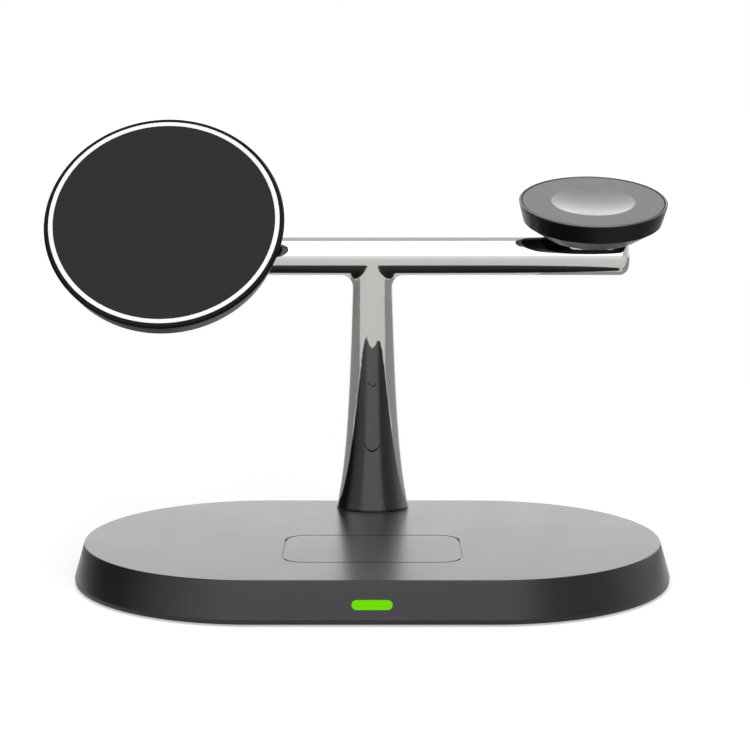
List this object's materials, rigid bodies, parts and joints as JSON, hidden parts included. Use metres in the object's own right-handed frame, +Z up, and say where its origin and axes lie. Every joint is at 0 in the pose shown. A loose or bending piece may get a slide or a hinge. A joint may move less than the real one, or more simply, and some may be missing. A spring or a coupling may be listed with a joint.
{
  "type": "wireless charging station",
  "caption": "Charging station: stadium-shaped base with an earbud spot, chrome T stand, tilting round magnetic phone head and a fixed round watch head with a dished face.",
  "frame": {"origin": "on the table, under the middle of the base, on the underside of the anti-slip mat", "axes": "+Z up; +X towards the watch head, along the crossbar; the front with the indicator faces -Y"},
  "size_m": [0.1563, 0.0926, 0.1149],
  "materials": {
    "black_shell": "fine satin moulded",
    "phone_pad": "soft-touch matt",
    "watch_pad": "smooth, grey",
    "white_trim": "gloss",
    "green_window": "clear tinted",
    "chrome": "dark, bright plated",
    "silicone": "matt, fine texture",
    "screw_steel": "zinc plated",
    "weight_steel": "bare, oiled",
    "inlet_metal": "drawn, nickel plated",
    "inlet_plastic": "moulded",
    "board_green": "solder mask",
    "board_black": "moulded",
    "lamp": "clear",
    "copper": "wound litz wire",
    "ferrite": "sintered",
    "magnet": "nickel plated",
    "tray_plastic": "moulded",
    "lead_jacket": "smooth"
  },
  "bodies": {
    "stand": {"base_housing": "black_shell", "base_plate": "black_shell", "watch_housing": "black_shell", "watch_bottom_cover": "black_shell", "watch_face": "watch_pad", "indicator_window": "green_window", "t_stand": "chrome", "bar_end_cap": "chrome", "anti_slip_mat": "silicone", "base_screws": "screw_steel", "board_screws": "screw_steel", "stand_screws": "screw_steel", "watch_screws": "screw_steel", "counterweights": "weight_steel", "inlet_shell": "inlet_metal", "inlet_tongue": "inlet_plastic", "main_board": "board_green", "indicator_board": "board_green", "watch_board": "board_green", "board_parts": "board_black", "indicator_lamp": "lamp", "earbud_coil": "copper", "watch_coil": "copper", "earbud_ferrite": "ferrite", "watch_ferrite": "ferrite", "watch_magnet": "magnet", "tilt_washers": "tray_plastic", "phone_lead": "lead_jacket", "watch_lead": "lead_jacket"},
    "phone_head": {"phone_neck": "chrome", "phone_neck_screws": "screw_steel", "phone_rear_shell": "black_shell", "phone_front_ring": "black_shell", "phone_white_ring": "white_trim", "phone_face": "phone_pad", "phone_magnet_tray": "tray_plastic", "phone_magnets": "magnet", "phone_coil": "copper", "phone_ferrite": "ferrite", "phone_board": "board_green", "phone_lead_tail": "lead_jacket"}
  },
  "joints": [
    {"name": "phone_head_tilt", "type": "hinge", "parent": "stand", "child": "phone_head", "pos_m": [-0.0515, 0.015, 0.0805], "axis": [1, 0, 0], "range_deg": [-25.7, 34.3]}
  ]
}
